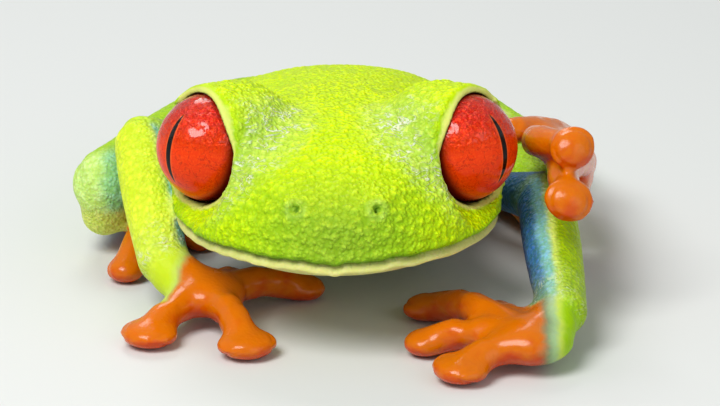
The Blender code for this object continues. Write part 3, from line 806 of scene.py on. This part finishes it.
# %% Lids, nostrils and creases
crease = np.zeros(len(spots))
rim = np.zeros(len(spots))
for side in SIDES:
    own, away, angle = around_eye(spots, side)
    depth = own[:, 2] - rim_depth(angle)
    reach = np.sqrt(EYE_RADIUS**2 - rim_depth(angle) ** 2) + rim_lift(angle)
    roll = np.hypot(np.hypot(own[:, 0], own[:, 1]) - reach, depth)
    fold = step(lean(angle, CORNER, 0.25), 0.25, 0.6)
    rim = np.maximum(rim, head * step(0.55 - roll, 0, 0.2))
    beyond = np.hypot(own[:, 0], own[:, 1]) - reach
    pale = step(0.46 - roll, -0.05, 0.05) * step(0.3 - beyond + 0.03 * speckle, -0.06, 0.06)
    colour = paint(colour, RIM, head * np.maximum(pale, fold * bell(away - EYE_RADIUS - 0.5, 0.09)))
    shade = step(0.38 + 0.03 * speckle - (away - EYE_RADIUS), -0.05, 0.05)
    # painted shade in the fold under each lower lid
    colour = paint(colour, CREVICE_SHADE, head * fold * shade)
    # a ring of painted shade where the skin meets the eyeball
    colour = paint(colour, CREVICE_SHADE, head * step(EYE_RADIUS + 0.12 - away, -0.03, 0.03))
    inner = step(lean(angle, 165, 0.35), 0.15, 0.7) * step(away, EYE_RADIUS + 0.45, EYE_RADIUS + 0.8)
    crease = np.maximum(crease, head * inner * step(EYE_RADIUS + 4.0 - away, 0, 2.6))
for side in SIDES:  # the skin gathers at the wrists
    gathered = bell(np.linalg.norm(spots - WRIST[side], axis=1) - 0.6, 1.6) * share(f"forearm_{side}")
    crease = np.maximum(crease, 0.8 * gathered)
for sign in (-1, 1):
    away = np.linalg.norm(spots - np.array(NOSTRIL) * (sign, 1, 1), axis=1)
    # painted shade in the nostril pits
    colour = paint(colour, NOSTRIL_SHADE, 0.95 * step(0.23 - away, -0.07, 0.07))
    colour = paint(colour, PALE_GREEN, 0.3 * bell(away - 0.5, 0.2))
colour = paint(colour, PALE_GREEN, 0.45 * crease)
print("painted the lids, nostrils and creases")

# %% Keep the shares on the mesh
def note(mesh, name, values):
    """Keeps a number or a colour of every vertex as an attribute that materials can read."""
    if values.ndim == 2:
        opaque = np.column_stack([values, np.ones(len(values))])
        layer = mesh.attributes.new(name, "FLOAT_COLOR", "POINT")
        layer.data.foreach_set("color", opaque.astype(np.float32).ravel())
    else:
        layer = mesh.attributes.new(name, "FLOAT", "POINT")
        layer.data.foreach_set("value", values.astype(np.float32))


above_lip = step(-below, 0.0, 0.6) * head
rough = np.clip(above_lip + (1 - head) * 0.5 + 0.15, 0, 1) * (1 - rim) * (1 - share(*FINE_PARTS))
note(skin.data, "colour", np.clip(colour, 0, 1))
note(skin.data, "wet", np.clip(hands, 0, 1))
note(skin.data, "crease", np.clip(crease * (1 - rim), 0, 1))
note(skin.data, "grain", np.clip(rough, 0, 1))
note(skin.data, "crest", grains(spots, GRAIN_SIZE))
print("painted", len(spots), "vertices")

# %% [markdown]
# ## Skin material
# The colours painted above are darkened a little between grains, as painted shade, and made paler on the
# grains, partly their own paler colour and partly painted highlight; creases get fine pale wrinkle lines.
# Fine bump carries the smallest grains, which are too small to model, and the skin is rougher where it is dry
# and shinier where it is wet.

# %% Node helpers
def add(tree, kind, sockets=None, **settings):
    """Adds a node. sockets gives its inputs, each a value or an output to link."""
    made = tree.nodes.new(kind)
    for name, value in settings.items():
        setattr(made, name, value)
    for name, value in (sockets or {}).items():
        if isinstance(value, bpy.types.NodeSocket):
            tree.links.new(value, made.inputs[name])
        else:
            made.inputs[name].default_value = value
    return made


def math_of(tree, operation, first, second=0.0, third=0.0, clamp=False):
    sockets = {0: first, 1: second, 2: third}
    return add(tree, "ShaderNodeMath", sockets, operation=operation, use_clamp=clamp).outputs[0]


def mix_of(tree, amount, first, second, blend="MIX"):
    made = add(tree, "ShaderNodeMix", {0: amount, 6: first, 7: second}, data_type="RGBA", blend_type=blend)
    return made.outputs[2]


def noise_of(tree, vector, scale, detail=2.0, distortion=0.0):
    sockets = {"Vector": vector, "Scale": scale, "Detail": detail, "Distortion": distortion}
    return add(tree, "ShaderNodeTexNoise", sockets).outputs


def smooth_of(tree, value, start, end):
    """A smooth climb from 0 to 1 between two values."""
    made = add(tree, "ShaderNodeMapRange", {0: value, 1: start, 2: end}, interpolation_type="SMOOTHSTEP")
    return made.outputs[0]


def attribute(tree, name, output="Fac"):
    return add(tree, "ShaderNodeAttribute", attribute_name=name).outputs[output]


def new_group(name, inputs, outputs):
    group = bpy.data.node_groups.new(name, "ShaderNodeTree")
    for label, kind, default in inputs:
        socket = group.interface.new_socket(label, in_out="INPUT", socket_type=kind)
        if default is not None:
            socket.default_value = default
    for label, kind in outputs:
        group.interface.new_socket(label, in_out="OUTPUT", socket_type=kind)
    return group, group.nodes.new("NodeGroupInput").outputs, group.nodes.new("NodeGroupOutput").inputs


def start_material(name):
    made = bpy.data.materials.new(name)
    made.use_nodes = True
    return made, made.node_tree, made.node_tree.nodes["Principled BSDF"]


# %% Groups for grains and wrinkles
GRAINS_PER_METRE = 4000.0


def granules():
    """Skin that is packed with tiny round grains, and how high each point of it stands."""
    group, inputs, outputs = new_group(
        "granules",
        [("Vector", "NodeSocketVector", None), ("Grains per metre", "NodeSocketFloat", GRAINS_PER_METRE)],
        [("Height", "NodeSocketFloat"), ("Crest", "NodeSocketFloat")],
    )
    bend = noise_of(group, inputs["Vector"], 1500.0, detail=1.0)["Color"]
    shift = add(group, "ShaderNodeVectorMath", {0: bend, "Scale": 0.0002}, operation="SCALE").outputs[0]
    moved = add(group, "ShaderNodeVectorMath", {0: inputs["Vector"], 1: shift}, operation="ADD").outputs[0]
    sockets = {"Vector": moved, "Scale": inputs["Grains per metre"], "Smoothness": 0.4}
    cells = add(group, "ShaderNodeTexVoronoi", sockets, feature="SMOOTH_F1").outputs["Distance"]
    dome = smooth_of(group, cells, 0.8, 0.1)
    fine = noise_of(group, inputs["Vector"], 9000.0)["Fac"]
    group.links.new(math_of(group, "MULTIPLY_ADD", fine, 0.3, dome), outputs["Height"])
    group.links.new(dome, outputs["Crest"])
    return group


def wrinkles():
    """Fine wavering lines, as skin shows where it is drawn together: 1 on a line and 0 between them."""
    group, inputs, outputs = new_group(
        "wrinkles", [("Vector", "NodeSocketVector", None)], [("Line", "NodeSocketFloat")]
    )
    squeeze = {0: inputs["Vector"], 1: (1.0, 1.0, 2.4)}
    squeezed = add(group, "ShaderNodeVectorMath", squeeze, operation="MULTIPLY").outputs[0]
    field = noise_of(group, squeezed, 1150.0, distortion=0.9)["Fac"]
    ridge = math_of(group, "ABSOLUTE", math_of(group, "SUBTRACT", field, 0.5))
    breaks = noise_of(group, inputs["Vector"], 900.0)["Fac"]
    line = math_of(group, "MULTIPLY", smooth_of(group, ridge, 0.05, 0.01), smooth_of(group, breaks, 0.4, 0.6))
    group.links.new(line, outputs["Line"])
    return group


grain_group, wrinkle_group = granules(), wrinkles()
print("shader groups:", [group.name for group in bpy.data.node_groups])

# %% Moist granular skin
# these four are factors on the painted colour: painted shade between grains, the grains' own paler
# colour with painted highlight on them, and random dark and pale patches; the last is the colour of a wrinkle
SHADE_BETWEEN_GRAINS, GRAIN_COLOUR_AND_HIGHLIGHT = (0.64, 0.72, 0.4, 1), (1.18, 1.13, 1.6, 1)
DARK_PATCH, PALE_PATCH = (0.86, 0.92, 0.8, 1), (1.12, 1.06, 1.1, 1)
WRINKLE = (0.86, 0.92, 0.66, 1)


def skin_material():
    made, tree, shader = start_material("moist_skin")
    where = add(tree, "ShaderNodeTexCoord").outputs["Object"]
    colour, wet = attribute(tree, "colour", "Color"), attribute(tree, "wet")
    grain, crease, crest = attribute(tree, "grain"), attribute(tree, "crease"), attribute(tree, "crest")
    grains = add(tree, "ShaderNodeGroup", node_tree=grain_group)
    lines = add(tree, "ShaderNodeGroup", node_tree=wrinkle_group)
    tree.links.new(where, grains.inputs["Vector"])
    tree.links.new(where, lines.inputs["Vector"])
    grains.inputs["Grains per metre"].default_value = GRAINS_PER_METRE
    height, small = grains.outputs["Height"], grains.outputs["Crest"]
    patches = noise_of(tree, where, 260.0, detail=3.0)["Fac"]
    line = math_of(tree, "MULTIPLY", lines.outputs["Line"], crease)
    both = math_of(tree, "MULTIPLY_ADD", small, 0.4, math_of(tree, "MULTIPLY", crest, 0.6))
    # painted shade between grains; on them the grains' own paler colour and a painted highlight
    grain_shade_and_highlight = mix_of(tree, math_of(tree, "MULTIPLY", grain, both), SHADE_BETWEEN_GRAINS, GRAIN_COLOUR_AND_HIGHLIGHT)
    shade = mix_of(tree, patches, DARK_PATCH, PALE_PATCH)
    base = mix_of(tree, 1.0, colour, grain_shade_and_highlight, "MULTIPLY")
    base = mix_of(tree, 1.0, base, shade, "MULTIPLY")
    base = mix_of(tree, math_of(tree, "MULTIPLY", line, 0.9), base, WRINKLE)
    tree.links.new(base, shader.inputs["Base Color"])
    dry = math_of(tree, "SUBTRACT", 1.0, wet)
    rough = math_of(tree, "MULTIPLY_ADD", dry, 0.16, math_of(tree, "MULTIPLY_ADD", patches, 0.12, 0.2))
    tree.links.new(rough, shader.inputs["Roughness"])
    tree.links.new(math_of(tree, "MULTIPLY", wet, 0.4), shader.inputs["Coat Weight"])
    shader.inputs["Coat Roughness"].default_value = 0.15
    shader.inputs["Specular IOR Level"].default_value = 0.1
    shader.inputs["Subsurface Weight"].default_value = 0.3
    shader.inputs["Subsurface Radius"].default_value = (1.0, 0.55, 0.15)
    shader.inputs["Subsurface Scale"].default_value = 0.0003
    raised = math_of(tree, "MULTIPLY", height, math_of(tree, "MULTIPLY_ADD", grain, 0.85, 0.12))
    raised = math_of(tree, "MULTIPLY_ADD", line, 1.0, raised)
    bump = add(tree, "ShaderNodeBump", {"Strength": 1.0, "Distance": 0.0001, "Height": raised})
    tree.links.new(bump.outputs["Normal"], shader.inputs["Normal"])
    return made


skin.data.materials.clear()
skin.data.materials.append(skin_material())
print("skin material:", len(skin.data.materials[0].node_tree.nodes), "nodes")

# %% [markdown]
# ## Eye material
# The iris is a deep orange red, redder above, with fine dark veins and a dark edge where it meets the lids,
# partly its own darker rim and partly painted shade under the lids.
# The pupil is a narrow upright slit. The eye is wet all over, and above, the film on it is finely rippled,
# which breaks up the glints of the lamps. Bump makes the ripples, because they are far too fine for the mesh.

# %% Red iris, upright slit
PUPIL_OUT, PUPIL_HALF_HEIGHT, PUPIL_HALF_WIDTH = -0.085, 0.63, 0.066  # in eye radii
RED, DEEP_RED = (0.74, 0.036, 0.0, 1), (0.62, 0.01, 0.002, 1)
VEIN, FLECK = (0.36, 0.012, 0.001, 1), (0.84, 0.08, 0.003, 1)
# the brown edge is partly the iris's own darker rim and partly painted shade under the lids
IRIS_EDGE_AND_LID_SHADE, PUPIL_RING = (0.12, 0.006, 0.001, 1), (0.85, 0.14, 0.02, 1)
PUPIL_BLACK = (0.003, 0.002, 0.002, 1)


def eye_material():
    made, tree, shader = start_material("red_eye")
    gaze = attribute(tree, "gaze", "Vector")
    parts = add(tree, "ShaderNodeSeparateXYZ", {0: gaze}).outputs
    up_share = math_of(tree, "DIVIDE", parts[1], PUPIL_HALF_HEIGHT)
    squared = math_of(tree, "POWER", up_share, 2.0)
    opening = math_of(tree, "SQRT", math_of(tree, "SUBTRACT", 1.0, squared, clamp=True))
    width = math_of(tree, "MULTIPLY", opening, PUPIL_HALF_WIDTH)
    aside = math_of(tree, "ABSOLUTE", math_of(tree, "SUBTRACT", parts[0], PUPIL_OUT))
    inside = math_of(tree, "SUBTRACT", width, aside)
    pupil = smooth_of(tree, inside, 0.0, 0.012)
    ring = math_of(tree, "MULTIPLY", smooth_of(tree, inside, -0.035, -0.008), 0.5)
    ring = math_of(tree, "MULTIPLY", ring, smooth_of(tree, opening, 0.0, 0.3))
    redder = smooth_of(tree, parts[1], 0.1, 0.75)
    lines = noise_of(tree, gaze, 4.0, detail=6.0, distortion=1.5)["Fac"]
    thin = math_of(tree, "ABSOLUTE", math_of(tree, "SUBTRACT", lines, 0.5))
    veins = math_of(tree, "MULTIPLY", smooth_of(tree, thin, 0.035, 0.0), 0.6)
    fine = noise_of(tree, gaze, 30.0, detail=4.0)["Fac"]
    flecks = math_of(tree, "MULTIPLY", smooth_of(tree, fine, 0.45, 0.7), 0.6)
    iris = mix_of(tree, redder, RED, DEEP_RED)
    iris = mix_of(tree, veins, iris, VEIN)
    iris = mix_of(tree, flecks, iris, FLECK)
    # darker towards the lids: partly the iris's own rim, partly painted shade under the lids
    iris = mix_of(tree, smooth_of(tree, parts[2], 0.48, 0.22), iris, IRIS_EDGE_AND_LID_SHADE)
    iris = mix_of(tree, ring, iris, PUPIL_RING)
    iris = mix_of(tree, pupil, iris, PUPIL_BLACK)
    tree.links.new(iris, shader.inputs["Base Color"])
    shader.inputs["Roughness"].default_value = 0.16
    shader.inputs["Specular IOR Level"].default_value = 0.13
    upper = smooth_of(tree, parts[1], 0.0, 0.3)
    film = math_of(tree, "MULTIPLY", noise_of(tree, gaze, 9.0, detail=5.0, distortion=0.6)["Fac"], upper)
    wet = smooth_of(tree, film, 0.45, 0.51)
    tree.links.new(math_of(tree, "MULTIPLY_ADD", wet, 0.8, 0.04), shader.inputs["Coat Weight"])
    tree.links.new(math_of(tree, "MULTIPLY", upper, 0.3), shader.inputs["Metallic"])
    shader.inputs["Coat Roughness"].default_value = 0.08
    shader.inputs["Coat IOR"].default_value = 1.45
    bump = add(tree, "ShaderNodeBump", {"Strength": 1.0, "Distance": 0.00028, "Height": film})
    tree.links.new(bump.outputs["Normal"], shader.inputs["Normal"])
    return made


wet_eye = eye_material()
for ball in eyeballs.values():
    ball.data.materials.clear()
    ball.data.materials.append(wet_eye)
print("eye material:", len(wet_eye.node_tree.nodes), "nodes")

# %% [markdown]
# ## Camera
# The frog is seen from the front and a little above. A short lens close by would swell the snout, so a long
# lens looks from further off and keeps the head's proportions.

# %% Camera
CAMERA_HEIGHT = math.radians(18)
CAMERA_DISTANCE = 200
CAMERA_TARGET = (1.44, -1.08, -3.33)
target = Vector(MIDDLE) + Vector(CAMERA_TARGET) * MM
back = Vector((0, -math.cos(CAMERA_HEIGHT), math.sin(CAMERA_HEIGHT)))
bpy.ops.object.camera_add(location=target + back * CAMERA_DISTANCE * MM)
camera = bpy.context.object
camera.rotation_euler = (-back).to_track_quat("-Z", "Y").to_euler()
camera.data.lens, camera.data.sensor_width = 160, 36
camera.data.clip_start = 0.01
bpy.context.scene.camera = camera
print("camera", CAMERA_DISTANCE, "mm away")

# %% [markdown]
# ## Floor and light
# The frog stands on a plain pale floor. A large soft light from the upper left does most of the work, a
# weaker one fills from the right, and a third from behind lights the edge of the back.

# %% Floor and lamps
def plain_material(name, value, roughness):
    made, _, shader = start_material(name)
    shader.inputs["Base Color"].default_value = (*value, 1)
    shader.inputs["Roughness"].default_value = roughness
    return made


bpy.ops.object.select_all(action="DESELECT")
bpy.ops.mesh.primitive_plane_add(size=3, location=(0, 0, 0))
floor = bpy.context.object
floor.name = "floor"
floor.data.materials.append(plain_material("pale_floor", (0.68, 0.69, 0.67), 0.75))


def lamp(name, place, size, power):
    """A round soft light, aimed at the frog's head, with its place in millimetres."""
    bpy.ops.object.light_add(type="AREA", location=Vector(place) * MM)
    made = bpy.context.object
    made.name = name
    made.data.shape, made.data.size = "DISK", size * MM
    made.data.energy = power
    made.rotation_euler = (Vector(MIDDLE) - Vector(place) * MM).to_track_quat("-Z", "Y").to_euler()


lamp("key", (-130, -190, 280), 200, 1.12)
lamp("fill", (300, -330, 160), 460, 0.5)
lamp("back", (-60, 240, 260), 160, 0.34)

world = bpy.data.worlds.new("pale_room")
bpy.context.scene.world = world
world.use_nodes = True
world.node_tree.nodes["Background"].inputs["Color"].default_value = (0.86, 0.9, 0.92, 1)
world.node_tree.nodes["Background"].inputs["Strength"].default_value = 0.42
bpy.context.scene.view_settings.view_transform = "Standard"
